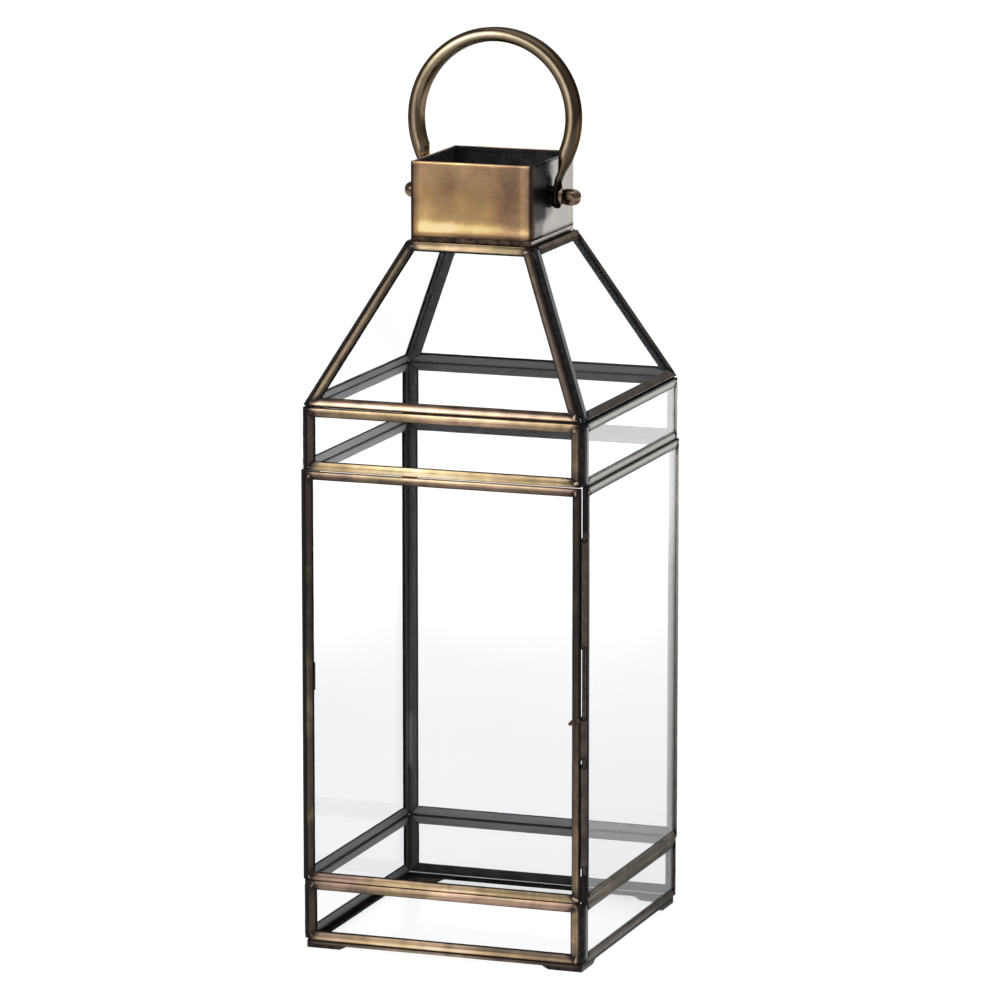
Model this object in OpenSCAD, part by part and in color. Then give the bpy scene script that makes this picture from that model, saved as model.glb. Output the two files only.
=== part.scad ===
// Square glass lantern: panes edged in folded brass channel, a hinged front door,
// a pyramid roof, an open-topped chimney collar and a swinging ring handle.
// The origin is at the middle of the footprint, on the surface that the feet stand on.
// The door faces -Y.

/* [Body] */
// Half of the inside width across the upper band
panel_half = 82; // [70:0.5:110]
// Extra half width of the tall section and of the door
tall_step = 0.9; // [0:0.1:1.5]
// Extra half width of the base section
base_step = 0.4; // [0:0.1:1.5]
// Height of the base section's panels
base_h = 35; // [25:0.5:60]
// Height of the tall section
tall_h = 239; // [180:1:300]
// Height of the upper band's panels
band_h = 36; // [25:0.5:60]
// Height of the roof from its eaves to its top opening
roof_h = 89.7; // [70:0.1:110]
// Half of the inside width of the roof's top opening
roof_top_half = 36.3; // [34:0.1:45]

/* [Brass channel and glass] */
// Face width of the channel on the fixed panels
channel_w = 5.2; // [4:0.1:8]
// Face width of the channel on the door
door_channel_w = 4.6; // [4:0.1:8]
// Thickness of the channel
channel_t = 3.1; // [2.8:0.1:4]
// Thickness of the sheet that the channel is folded from
channel_sheet = 0.6; // [0.4:0.1:1]
// Thickness of the glass
glass_t = 1.9; // [1.5:0.1:2]
// Slit left at each mitre between two lengths of channel
mitre_gap = 0.16; // [0.1:0.01:0.4]

/* [Door] */
// Clearance above and below the door
door_gap = 0.5; // [0.4:0.1:2]
// Clearance at each side of the door
door_side_gap = 0.3; // [0.2:0.1:1]
// Diameter of the hinge wire
hinge_pin_d = 2; // [1.6:0.1:2.2]
// Outer diameter of the hinge tubes
hinge_tube_d = 3.4; // [3:0.1:3.6]
// Distance of the hinge wire from the corner of the side panel, both ways
hinge_offset = 2.1; // [2:0.05:2.4]
// Length of the upper hinge tube
hinge_upper_len = 65; // [40:1:70]
// Length of the lower hinge tube
hinge_lower_len = 62; // [40:1:64]
// Length of the tube on the door, between them
knuckle_len = 27; // [15:1:30]

/* [Chimney and handle] */
// Half of the chimney collar's outer width
collar_half = 36.4; // [36.3:0.1:40]
// Height of the chimney collar
collar_h = 42.8; // [35:0.1:60]
// Thickness of the collar's sheet brass
collar_sheet = 0.9; // [0.7:0.1:1.5]
// Radius of the handle ring, to the middle of its bar
ring_r = 47.5; // [46:0.1:55]
// Radial thickness of the ring's bar
ring_bar_t = 8.2; // [6:0.1:9]
// Depth of the ring's bar
ring_bar_d = 12.4; // [10:0.1:14]
// Height of the ring's centre above its pivots
ring_rise = 43; // [38:0.1:48]
// How far the ring leans back from upright
ring_lean = 5; // [0:1:30]
// Diameter of the pivot knobs
knob_d = 9.7; // [8:0.1:12]
// Diameter of the pivot shank
shank_d = 5; // [4:0.1:6]

/* [Feet] */
// Thickness of the corner feet
foot_h = 2; // [1.5:0.1:4]
// Length of each leg of a corner foot
foot_len = 24; // [15:1:40]
// Width of each leg of a corner foot
foot_w = 5; // [4:0.1:8]

/* [Hidden] */
$fn = 64;

// Levels, from the ground up
floor_z = foot_h;
base_z = floor_z + channel_t;
tall_z = base_z + base_h;
band_z = tall_z + tall_h;
roof_z = band_z + band_h;
roof_top_z = roof_z + roof_h;

// Inside half widths of the sections
base_half = panel_half + base_step;
tall_half = panel_half + tall_step;
floor_half = base_half + 1;

// Roof panels lie in planes that lean in by the same run on all four sides
roof_run = panel_half - roof_top_half;
roof_pitch = atan2(roof_h, roof_run);
roof_slope = norm([roof_run, roof_h]);

// The seat stands inside the roof's top opening and carries the collar
seat_half = roof_top_half - 0.1;
seat_wall = 3.2;
seat_drop = 2.5;
seat_rise = 3.9;
collar_z = roof_top_z + seat_rise;
collar_top_z = collar_z + collar_h;
collar_hem_h = 3;
collar_hem_t = 0.7;

// Door panel
door_half = tall_half - door_side_gap;
door_z = tall_z + door_gap;
door_h = tall_h - 2 * door_gap;
door_y = tall_half + 0.1;

// Hinge, standing in the notch of the front right corner
running_gap = 0.05;
hinge_x = tall_half + hinge_offset;
hinge_y = -tall_half - hinge_offset;
web_t = 1.4;
knuckle_gap = 0.5;
hinge_lower_z = tall_z + 20;
knuckle_z = hinge_lower_z + hinge_lower_len + knuckle_gap;
hinge_upper_z = tall_z + tall_h - 27.5 - hinge_upper_len;
hinge_pin_end = 3;
strap_len = 7.2;
strap_w = 4;
strap_t = 0.9;
strap_tilt = 24;
strap_z = knuckle_z + knuckle_len - 4;

// Door catch, inside the front left corner
catch_h = 16;
catch_z = tall_z + tall_h / 2 - catch_h / 2;
catch_t = 0.8;
catch_depth = 9;
catch_reach = 5;
catch_gap = 0.3;

// Ring handle and its pivots
pivot_z = collar_z + 21.2;
eye_gap = 1.5;
eye_t = 2.5;
eye_in = collar_half + eye_gap;
eye_out = eye_in + eye_t;
eye_r = 6.85;
ring_corner_r = 3.4;
ring_neck_h = 13.2;
ring_neck_w = 8;
ring_tip_z = 7.6;
ring_tip_w = 2.3;
washer_t = 1.2;
washer_d = 12;
nut_t = 2.4;
nut_d = 9.2;
knob_len = 12.8;
knob_dome_r = 6;

// Solder, run the whole length of each corner and hip
solder_r = 2.9;
solder_end = 0.5;
hip_solder_r = 2.4;
hip_solder_end = 3.5;

// Turns about the vertical axis: front, right, back, left
FRONT = 0;
RIGHT = 1;
BACK = 2;
LEFT = 3;

BRASS = [0.62, 0.49, 0.31];
DARK_BRASS = [0.28, 0.22, 0.16];
PALE_GLASS = [0.85, 0.92, 0.95, 0.35];
SOLDER = [0.60, 0.58, 0.54];

// ---- Outlines -------------------------------------------------------------

// Outlines are four points, counter-clockwise from the bottom left
function rectangle(half, h) = [[-half, 0], [half, 0], [half, h], [-half, h]];
function roof_outline() = [
    [-panel_half, 0], [panel_half, 0],
    [roof_top_half, roof_slope], [-roof_top_half, roof_slope]
];
function direction(p, i) = let (d = p[(i + 1) % 4] - p[i]) d / norm(d);
function inward(p, i) = let (d = direction(p, i)) [-d.y, d.x];
function corner_inset(p, i, w) =
    let (n0 = inward(p, (i + 3) % 4), n1 = inward(p, i))
    p[i] + (n0 + n1) * w / (1 + n0 * n1);
function inset(p, w) = [for (i = [0:3]) corner_inset(p, i, w)];

// ---- Panels, lying flat with their outer face up ---------------------------

module pane(p) {
    translate([0, 0, (channel_t - glass_t) / 2])
        linear_extrude(glass_t)
            polygon(inset(p, channel_sheet));
}

module channel_length(p, i, w) {
    q = inset(p, w);
    j = (i + 1) % 4;
    slit = direction(p, i) * mitre_gap / 2;
    linear_extrude(channel_t)
        polygon([p[i] + slit, p[j] - slit, q[j] - slit, q[i] + slit]);
}

module channel_frame(p, w) {
    difference() {
        for (i = [0:3])
            channel_length(p, i, w);
        pane(p);
    }
}

module upright(turn, half, z) {
    rotate([0, 0, 90 * turn])
        translate([0, -half, z])
            rotate([90, 0, 0])
                children();
}

module sloped(turn) {
    rotate([0, 0, 90 * turn])
        translate([0, -panel_half, roof_z])
            rotate([roof_pitch, 0, 0])
                children();
}

// ---- Floor and feet --------------------------------------------------------

module floor_panel_place() {
    translate([0, -floor_half, floor_z])
        children();
}

module floor_glass() {
    color(PALE_GLASS) floor_panel_place() pane(rectangle(floor_half, 2 * floor_half));
}

module floor_channel() {
    color(BRASS) floor_panel_place() channel_frame(rectangle(floor_half, 2 * floor_half), channel_w);
}

// One leg of a foot, along +X, with a sloped far end
module foot_leg() {
    translate([0, foot_w, 0])
        rotate([90, 0, 0])
            linear_extrude(foot_w)
                polygon([[0, 0], [foot_len - 2 * foot_h, 0], [foot_len, foot_h], [0, foot_h]]);
}

module corner_foot() {
    foot_leg();
    mirror([1, -1, 0]) foot_leg();
}

module corner_feet() {
    color(DARK_BRASS)
        for (turn = [0:3])
            rotate([0, 0, 90 * turn])
                translate([-floor_half, -floor_half, 0])
                    corner_foot();
}

// ---- Base, tall section, band and roof -------------------------------------

module base_glass(turn) {
    color(PALE_GLASS) upright(turn, base_half, base_z) pane(rectangle(base_half, base_h));
}

module base_channel(turn) {
    color(BRASS) upright(turn, base_half, base_z) channel_frame(rectangle(base_half, base_h), channel_w);
}

module side_glass(turn) {
    color(PALE_GLASS) upright(turn, tall_half, tall_z) pane(rectangle(tall_half, tall_h));
}

module side_channel(turn) {
    color(BRASS) upright(turn, tall_half, tall_z) channel_frame(rectangle(tall_half, tall_h), channel_w);
}

module band_glass(turn) {
    color(PALE_GLASS) upright(turn, panel_half, band_z) pane(rectangle(panel_half, band_h));
}

module band_channel(turn) {
    color(BRASS) upright(turn, panel_half, band_z) channel_frame(rectangle(panel_half, band_h), channel_w);
}

module roof_glass(turn) {
    color(PALE_GLASS) sloped(turn) pane(roof_outline());
}

module roof_channel(turn) {
    color(BRASS) sloped(turn) channel_frame(roof_outline(), channel_w);
}

// ---- Solder ----------------------------------------------------------------

// A quarter-round seam in the notch of the front right corner
module corner_seam(half, z, h) {
    translate([half, -half, z])
        intersection() {
            translate([0, -channel_t, 0]) cube([channel_t, channel_t, h]);
            cylinder(r = solder_r, h = h);
        }
}

// Seams up one section, at the given corners
module section_seams(half, z, h, corners) {
    for (turn = corners)
        rotate([0, 0, 90 * turn])
            corner_seam(half, z + solder_end, h - 2 * solder_end);
}

module corner_solder() {
    color(SOLDER) {
        section_seams(base_half, base_z, base_h, [0:3]);
        section_seams(tall_half, tall_z, tall_h, [1, 2]);
        section_seams(panel_half, band_z, band_h, [0:3]);
    }
}

// A rod along the front right hip, from one distance up the hip to another
module hip_rod(from, to) {
    hip = [-roof_run, roof_run, roof_h];
    translate([panel_half, -panel_half, roof_z])
        rotate([0, 0, 135])
            rotate([0, acos(hip.z / norm(hip)), 0])
                translate([0, 0, from])
                    cylinder(r = hip_solder_r, h = to - from);
}

// Everything on the inner side of a roof panel's inner face
module roof_inner_side(turn) {
    far = 4 * panel_half;
    sloped(turn)
        translate([-far, -far, -far])
            cube([2 * far, 2 * far, far]);
}

module hip_seam(from, to) {
    difference() {
        hip_rod(from, to);
        sloped(FRONT) linear_extrude(channel_t) polygon(roof_outline());
        sloped(RIGHT) linear_extrude(channel_t) polygon(roof_outline());
        roof_inner_side(FRONT);
        roof_inner_side(RIGHT);
    }
}

module hip_solder() {
    hip_len = norm([roof_run, roof_run, roof_h]);
    color(SOLDER)
        for (turn = [0:3])
            rotate([0, 0, 90 * turn])
                hip_seam(hip_solder_end, hip_len - hip_solder_end);
}

// ---- Chimney ---------------------------------------------------------------

module square_tube(half, wall, z, h) {
    translate([0, 0, z])
        linear_extrude(h)
            difference() {
                square(2 * half, center = true);
                square(2 * (half - wall), center = true);
            }
}

module roof_seat() {
    color(DARK_BRASS) square_tube(seat_half, seat_wall, roof_top_z - seat_drop, seat_drop + seat_rise);
}

module chimney_collar() {
    color(BRASS)
        difference() {
            union() {
                square_tube(collar_half, collar_sheet, collar_z, collar_h);
                square_tube(
                    collar_half, collar_sheet + collar_hem_t, collar_top_z - collar_hem_h, collar_hem_h
                );
            }
            translate([-2 * collar_half, 0, pivot_z])
                rotate([0, 90, 0])
                    cylinder(d = shank_d + 2 * running_gap, h = 4 * collar_half);
        }
}

// ---- Ring handle, drawn about its pivot axis --------------------------------

module handle_place() {
    translate([0, 0, pivot_z])
        rotate([-ring_lean, 0, 0])
            children();
}

module right_or_left(side) {
    if (side == LEFT) mirror([1, 0, 0]) children();
    else children();
}

module ring_section() {
    x = ring_bar_t / 2 - ring_corner_r;
    y = ring_bar_d / 2 - ring_corner_r;
    square([2 * x, ring_bar_d], center = true);
    square([ring_bar_t, 2 * y], center = true);
    for (sx = [-1, 1])
        for (sy = [-1, 1])
            translate([sx * x, sy * y])
                circle(ring_corner_r);
}

// The bar is forged down to a tip on the outside of the eye's neck
module ring_eye() {
    tip_top = ring_neck_h + 1;
    difference() {
        union() {
            translate([eye_in, 0, 0])
                rotate([90, 0, 90])
                    linear_extrude(eye_t + 0.2) {
                        circle(eye_r);
                        translate([-ring_neck_w / 2, 0]) square([ring_neck_w, ring_neck_h]);
                    }
            rotate([90, 0, 0])
                linear_extrude(ring_neck_w, center = true)
                    polygon([
                        [eye_out - 0.1, ring_tip_z], [eye_out, ring_tip_z],
                        [eye_out + ring_tip_w, tip_top], [eye_out - 0.1, tip_top],
                    ]);
        }
        translate([eye_in - 1, 0, 0])
            rotate([0, 90, 0])
                cylinder(d = shank_d + 2 * running_gap, h = eye_t + 3);
        translate([eye_out, -ring_bar_d, -ring_bar_d])
            cube([1, 2 * ring_bar_d, ring_bar_d + ring_tip_z]);
    }
}

module handle_ring() {
    color(BRASS)
        handle_place() {
            difference() {
                translate([0, 0, ring_rise])
                    rotate([90, 0, 0])
                        rotate_extrude($fn = 128)
                            translate([ring_r, 0])
                                ring_section();
                translate([-eye_out, -ring_bar_d, -ring_r])
                    cube([2 * eye_out, 2 * ring_bar_d, ring_r + ring_rise]);
            }
            for (side = [RIGHT, LEFT])
                right_or_left(side) ring_eye();
        }
}

module knob_right() {
    shank_from = collar_half - collar_sheet - nut_t - 0.8;
    rotate([0, 90, 0]) {
        translate([0, 0, shank_from]) cylinder(d = shank_d, h = eye_out - shank_from);
        intersection() {
            translate([0, 0, eye_out]) cylinder(d = knob_d, h = knob_len);
            translate([0, 0, eye_out + knob_len - knob_dome_r])
                union() {
                    sphere(knob_dome_r);
                    mirror([0, 0, 1]) cylinder(r = knob_dome_r, h = knob_len);
                }
        }
    }
}

module handle_knob(side) {
    color(DARK_BRASS) handle_place() right_or_left(side) knob_right();
}

module pivot_washer(side) {
    color(DARK_BRASS)
        handle_place()
            right_or_left(side)
                translate([eye_in - washer_t, 0, 0])
                    rotate([0, 90, 0])
                        difference() {
                            cylinder(d = washer_d, h = washer_t);
                            translate([0, 0, -1]) cylinder(d = shank_d + 0.4, h = washer_t + 2);
                        }
}

module pivot_nut(side) {
    color(DARK_BRASS)
        handle_place()
            right_or_left(side)
                translate([collar_half - collar_sheet - 0.2 - nut_t, 0, 0])
                    rotate([0, 90, 0])
                        difference() {
                            cylinder(d = nut_d, h = nut_t, $fn = 6);
                            translate([0, 0, -1])
                                cylinder(d = shank_d + 2 * running_gap, h = nut_t + 2);
                        }
}

// ---- Door and hinge ----------------------------------------------------------

module door_place() {
    translate([0, -door_y, door_z])
        rotate([90, 0, 0])
            children();
}

module door_glass() {
    color(PALE_GLASS) door_place() pane(rectangle(door_half, door_h));
}

module door_channel() {
    color(BRASS) door_place() channel_frame(rectangle(door_half, door_h), door_channel_w);
}

// A length of tube on the hinge axis, with the web that solders it to a panel
module hinge_tube(z, len, web_corner, web_size) {
    difference() {
        union() {
            translate([hinge_x, hinge_y, z]) cylinder(d = hinge_tube_d, h = len);
            translate([web_corner.x, web_corner.y, z]) cube([web_size.x, web_size.y, len]);
        }
        translate([hinge_x, hinge_y, z - 1])
            cylinder(d = hinge_pin_d + 2 * running_gap, h = len + 2);
    }
}

// The fixed tubes reach back to the front edge of the right side panel
module fixed_tube(z, len) {
    hinge_tube(z, len, [hinge_x - web_t / 2, hinge_y + 1.1], [web_t, hinge_offset - 1.1]);
}

module hinge_tube_upper() {
    color(BRASS) fixed_tube(hinge_upper_z, hinge_upper_len);
}

module hinge_tube_lower() {
    color(BRASS) fixed_tube(hinge_lower_z, hinge_lower_len);
}

// The door's tube reaches sideways to the right edge of the door
module door_knuckle() {
    reach = hinge_x - door_half - 1.1;
    color(BRASS)
        hinge_tube(knuckle_z, knuckle_len, [door_half, hinge_y - web_t / 2], [reach, web_t]);
}

module hinge_pin() {
    from = hinge_lower_z - hinge_pin_end;
    to = hinge_upper_z + hinge_upper_len + hinge_pin_end;
    color(DARK_BRASS) translate([hinge_x, hinge_y, from]) cylinder(d = hinge_pin_d, h = to - from);
}

// A short strap soldered across the door's right stile, level with the knuckle's head
module hinge_strap() {
    color(DARK_BRASS)
        translate([door_half - strap_len / 2 + 0.6, -door_y - channel_t, strap_z])
            rotate([90, -strap_tilt, 0])
                linear_extrude(strap_t)
                    square([strap_len, strap_w], center = true);
}

// A bent tab on the left side panel, behind the door's left stile
module door_catch() {
    color(DARK_BRASS)
        translate([-tall_half, -tall_half + catch_gap, catch_z])
            union() {
                cube([catch_t, catch_depth, catch_h]);
                cube([catch_reach, catch_t, catch_h]);
            }
}

floor_glass();
floor_channel();
corner_feet();
base_glass(FRONT);  // base_glass_front
base_glass(RIGHT);  // base_glass_right
base_glass(BACK);  // base_glass_back
base_glass(LEFT);  // base_glass_left
base_channel(FRONT);  // base_channel_front
base_channel(RIGHT);  // base_channel_right
base_channel(BACK);  // base_channel_back
base_channel(LEFT);  // base_channel_left
side_glass(RIGHT);  // side_glass_right
side_glass(BACK);  // side_glass_back
side_glass(LEFT);  // side_glass_left
side_channel(RIGHT);  // side_channel_right
side_channel(BACK);  // side_channel_back
side_channel(LEFT);  // side_channel_left
band_glass(FRONT);  // band_glass_front
band_glass(RIGHT);  // band_glass_right
band_glass(BACK);  // band_glass_back
band_glass(LEFT);  // band_glass_left
band_channel(FRONT);  // band_channel_front
band_channel(RIGHT);  // band_channel_right
band_channel(BACK);  // band_channel_back
band_channel(LEFT);  // band_channel_left
roof_glass(FRONT);  // roof_glass_front
roof_glass(RIGHT);  // roof_glass_right
roof_glass(BACK);  // roof_glass_back
roof_glass(LEFT);  // roof_glass_left
roof_channel(FRONT);  // roof_channel_front
roof_channel(RIGHT);  // roof_channel_right
roof_channel(BACK);  // roof_channel_back
roof_channel(LEFT);  // roof_channel_left
corner_solder();
hip_solder();
roof_seat();
chimney_collar();
door_glass();
door_channel();
door_knuckle();
hinge_strap();
hinge_tube_upper();
hinge_tube_lower();
hinge_pin();
door_catch();
handle_ring();
handle_knob(LEFT);  // handle_knob_left
handle_knob(RIGHT);  // handle_knob_right
pivot_washer(LEFT);  // pivot_washer_left
pivot_washer(RIGHT);  // pivot_washer_right
pivot_nut(LEFT);  // pivot_nut_left
pivot_nut(RIGHT);  // pivot_nut_right
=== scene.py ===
"""Looks for the square glass lantern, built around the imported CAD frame.

Meshes are built from points in millimetres, which MM turns into metres. All other lengths are in metres.
"""
import math

import bpy
import bmesh
from mathutils import Matrix, Vector, noise


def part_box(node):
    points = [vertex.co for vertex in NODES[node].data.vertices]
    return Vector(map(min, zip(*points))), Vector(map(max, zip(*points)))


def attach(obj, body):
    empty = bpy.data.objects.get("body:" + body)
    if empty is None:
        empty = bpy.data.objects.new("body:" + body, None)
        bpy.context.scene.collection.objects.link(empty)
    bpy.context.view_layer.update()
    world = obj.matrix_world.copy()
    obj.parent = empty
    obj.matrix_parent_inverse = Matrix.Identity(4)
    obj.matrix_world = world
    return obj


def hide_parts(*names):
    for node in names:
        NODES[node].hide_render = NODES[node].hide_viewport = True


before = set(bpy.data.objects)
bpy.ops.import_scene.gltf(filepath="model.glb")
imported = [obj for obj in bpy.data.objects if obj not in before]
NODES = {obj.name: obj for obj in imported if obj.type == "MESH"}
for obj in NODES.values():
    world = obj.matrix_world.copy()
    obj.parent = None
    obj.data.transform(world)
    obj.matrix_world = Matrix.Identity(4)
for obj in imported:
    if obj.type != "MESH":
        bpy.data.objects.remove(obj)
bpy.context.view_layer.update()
MM = 0.001
FACES = ["front", "right", "back", "left"]

# Sizes that the CAD states, in millimetres, and the lean of the ring
CHANNEL_T = 3.1
SHEET = 0.6
GLASS_T = 1.9
CHANNEL_W = 5.2
DOOR_CHANNEL_W = 4.6
ROOF_TOP_HALF = 36.3
ROOF_H = 89.7
HINGE_AXIS = (85.0, -85.0)
TUBE_R = 1.7
RING_LEAN = math.radians(5)
RING_RISE = 43.0
RING_INNER_R = 43.4
RING_OUTER_R = 51.6
RING_DEPTH = 12.4
RING_TIP_Z = 7.6
EYE_IN = 37.9
EYE_OUT = 40.4
EYE_R = 6.85
SHANK_R = 2.5


def box_mm(node):
    lo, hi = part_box(node)
    return lo / MM, hi / MM


def smooth(a, b, x):
    t = min(1.0, max(0.0, (x - a) / (b - a)))
    return t * t * (3 - 2 * t)


def bell(x, middle, wide):
    return math.exp(-(((x - middle) / wide) ** 2))


def wobble(p, size_mm, seed):
    """Smooth noise from -1 to 1 that changes over about size_mm."""
    return noise.noise(Vector(p) / size_mm + Vector((seed * 7.31, seed * 3.17, seed * 5.71)))


def new_object(name, data):
    obj = bpy.data.objects.new(name, data)
    bpy.context.scene.collection.objects.link(obj)
    return obj


# ---- Meshes -----------------------------------------------------------------


class Builder:
    """Gathers closed loops of points in millimetres and joins them ring to ring.

    Each point has a finish (how polished, with painted highlight added; how near an edge; how grey, which is
    painted reflection; how rosy) and a place on its strip of metal.
    """

    def __init__(self):
        self.verts, self.faces, self.finish, self.uv, self.kinds = [], [], [], [], []

    def ring(self, points):
        """Adds a loop of (point, finish, place on the strip) and gives the numbers of its points."""
        start = len(self.verts)
        for point, finish, uv in points:
            self.verts.append(Vector(point))
            self.finish.append(finish)
            self.uv.append(uv)
        return list(range(start, len(self.verts)))

    def loft(self, rings, closed=False, kinds=None, cap_kind=0):
        """Joins the rings in order. kinds picks the material of each strip of faces from ring to ring."""
        n = len(rings[0])
        for a, b in zip(rings, rings[1:] + rings[:1] if closed else rings[1:]):
            for i in range(n):
                j = (i + 1) % n
                self.faces.append((a[i], a[j], b[j], b[i]))
                self.kinds.append(kinds[i] if kinds else 0)
        if not closed:
            self.faces += [tuple(reversed(rings[0])), tuple(rings[-1])]
            self.kinds += [cap_kind, cap_kind]

    def make(self, name, materials, body, slot, *replaced, angle=40):
        mesh = bpy.data.meshes.new(name)
        mesh.from_pydata([v * MM for v in self.verts], [], self.faces)
        for material in materials:
            mesh.materials.append(material)
        mesh.polygons.foreach_set("material_index", self.kinds)
        attribute = mesh.attributes.new("finish", "FLOAT_COLOR", "POINT")
        flat = [c for f in self.finish for c in f]
        attribute.data.foreach_set("color", flat)
        layer = mesh.uv_layers.new(name="strip")
        for loop in mesh.loops:
            layer.data[loop.index].uv = self.uv[loop.vertex_index]
        bm = bmesh.new()
        bm.from_mesh(mesh)
        bmesh.ops.recalc_face_normals(bm, faces=bm.faces)
        bm.to_mesh(mesh)
        bm.free()
        mesh.shade_smooth()
        mesh.set_sharp_from_angle(angle=math.radians(angle))
        obj = new_object(name, mesh)
        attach(obj, body)
        if replaced:
            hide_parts(*replaced)
        return obj


def bake_modifiers(obj):
    """Applies the object's modifiers to its mesh."""
    bpy.context.view_layer.update()
    evaluated = obj.evaluated_get(bpy.context.evaluated_depsgraph_get())
    mesh = bpy.data.meshes.new_from_object(evaluated)
    obj.modifiers.clear()
    obj.data = mesh


def drill(obj, radius_mm, centre_mm, length_mm):
    """Cuts a round hole along X through the object."""
    bm = bmesh.new()
    turn = Matrix.Rotation(math.pi / 2, 4, "Y")
    place = Matrix.Translation(Vector(centre_mm) * MM)
    bmesh.ops.create_cone(
        bm, cap_ends=True, segments=48, radius1=radius_mm * MM, radius2=radius_mm * MM,
        depth=length_mm * MM, matrix=place @ turn,
    )
    mesh = bpy.data.meshes.new("cutter")
    bm.to_mesh(mesh)
    bm.free()
    cutter = new_object("cutter", mesh)
    cut = obj.modifiers.new("hole", "BOOLEAN")
    cut.operation = "DIFFERENCE"
    cut.solver = "EXACT"
    cut.object = cutter
    bake_modifiers(obj)
    bpy.data.objects.remove(cutter)


# ---- Materials --------------------------------------------------------------


class Tree:
    """The node tree of a new material or world, with short calls for the nodes used here."""

    def __init__(self, name, world=False):
        self.owner = (bpy.data.worlds if world else bpy.data.materials).new(name)
        self.owner.use_nodes = True
        self.tree = self.owner.node_tree
        self.tree.nodes.clear()
        self.output = self.tree.nodes.new("ShaderNodeOutputWorld" if world else "ShaderNodeOutputMaterial")
        self.place = self.tree.nodes.new("ShaderNodeTexCoord").outputs["Generated" if world else "Object"]

    def put(self, socket, value):
        if isinstance(value, bpy.types.NodeSocket):
            self.tree.links.new(value, socket)
        elif value is not None:
            socket.default_value = value

    def node(self, kind, inputs=(), **settings):
        n = self.tree.nodes.new(kind)
        for key, value in settings.items():
            setattr(n, key, value)
        for key, value in dict(inputs).items():
            self.put(n.inputs[key], value)
        return n

    def math(self, operation, a, b=None, clamp=False):
        return self.node("ShaderNodeMath", {0: a, 1: b}, operation=operation, use_clamp=clamp).outputs[0]

    def plus(self, a, b, clamp=False):
        return self.math("ADD", a, b, clamp)

    def minus(self, a, b, clamp=False):
        return self.math("SUBTRACT", a, b, clamp)

    def times(self, a, b):
        return self.math("MULTIPLY", a, b)

    def mix(self, factor, a, b):
        inputs = {"Factor": factor, 6: a, 7: b}
        return self.node("ShaderNodeMix", inputs, data_type="RGBA", clamp_factor=True).outputs[2]

    def noise(self, scale, detail=3.0, roughness=0.55, distortion=0.0, vector=None):
        return self.node("ShaderNodeTexNoise", {
            "Vector": vector or self.place, "Scale": scale, "Detail": detail,
            "Roughness": roughness, "Distortion": distortion,
        }).outputs[0]

    def ramp(self, value, low, high, to_low=0.0, to_high=1.0):
        return self.node("ShaderNodeMapRange", {
            "Value": value, "From Min": low, "From Max": high, "To Min": to_low, "To Max": to_high,
        }, interpolation_type="SMOOTHSTEP").outputs[0]

    def colours(self, value, stops):
        n = self.node("ShaderNodeValToRGB", {"Fac": value})
        ends = n.color_ramp.elements
        while len(ends) < len(stops):
            ends.new(0.5)
        for end, (place, colour) in zip(ends, stops):
            end.position = place
            end.color = colour
        return n.outputs[0]

    def bump(self, height, strength, distance, normal=None):
        inputs = {"Height": height, "Strength": strength, "Distance": distance, "Normal": normal}
        return self.node("ShaderNodeBump", inputs).outputs[0]

    def mesh_finish(self):
        """The mesh's finish: how polished, with painted highlight added; how near an edge; how grey, which is
        painted reflection; and how rosy.
        """
        attribute = self.node("ShaderNodeAttribute", attribute_name="finish")
        parts = self.node("ShaderNodeSeparateColor", {"Color": attribute.outputs["Color"]})
        return *parts.outputs, attribute.outputs["Alpha"]

    def drawn(self, along, across):
        """The strip's coordinates, scaled for streaks that run along it."""
        strip = self.node("ShaderNodeUVMap", uv_map="strip").outputs[0]
        return self.node("ShaderNodeMapping", {"Vector": strip, "Scale": (along, across, 1)}).outputs[0]

    def either(self, choice, first, second):
        """The first shader where choice is 0, the second where it is 1."""
        shaders = {0: choice, 1: first.outputs[0], 2: second.outputs[0]}
        return self.node("ShaderNodeMixShader", shaders).outputs[0]

    def finish(self, shader):
        self.put(self.output.inputs["Surface"], shader)
        return self.owner

    def principled(self, inputs):
        return self.finish(self.node("ShaderNodeBsdfPrincipled", inputs).outputs[0])


def rgb(r, g, b):
    """A colour given as it is seen, from 0 to 255, in the renderer's linear values."""
    def linear(c):
        c /= 255
        return c / 12.92 if c <= 0.04045 else ((c + 0.055) / 1.055) ** 2.4
    return (linear(r), linear(g), linear(b), 1.0)


ANTIQUE = (
    (0.00, rgb(44, 39, 37)), (0.18, rgb(80, 70, 61)), (0.40, rgb(138, 119, 93)),
    (0.62, rgb(188, 162, 120)), (0.82, rgb(228, 202, 154)), (1.00, rgb(250, 232, 192)))
ANTIQUE_PINK = (
    (0.00, rgb(46, 39, 38)), (0.18, rgb(84, 71, 66)), (0.40, rgb(142, 116, 104)),
    (0.62, rgb(190, 158, 142)), (0.82, rgb(222, 192, 170)), (1.00, rgb(244, 224, 206)))
# Painted reflection: the neutral grey that faces take where they mirror the pale room, from dim to bright
MIRRORED_GREY = (
    (0.00, rgb(34, 33, 34)), (0.25, rgb(60, 58, 57)), (0.50, rgb(88, 86, 84)),
    (0.75, rgb(110, 108, 106)), (1.00, rgb(130, 129, 127)))


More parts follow.
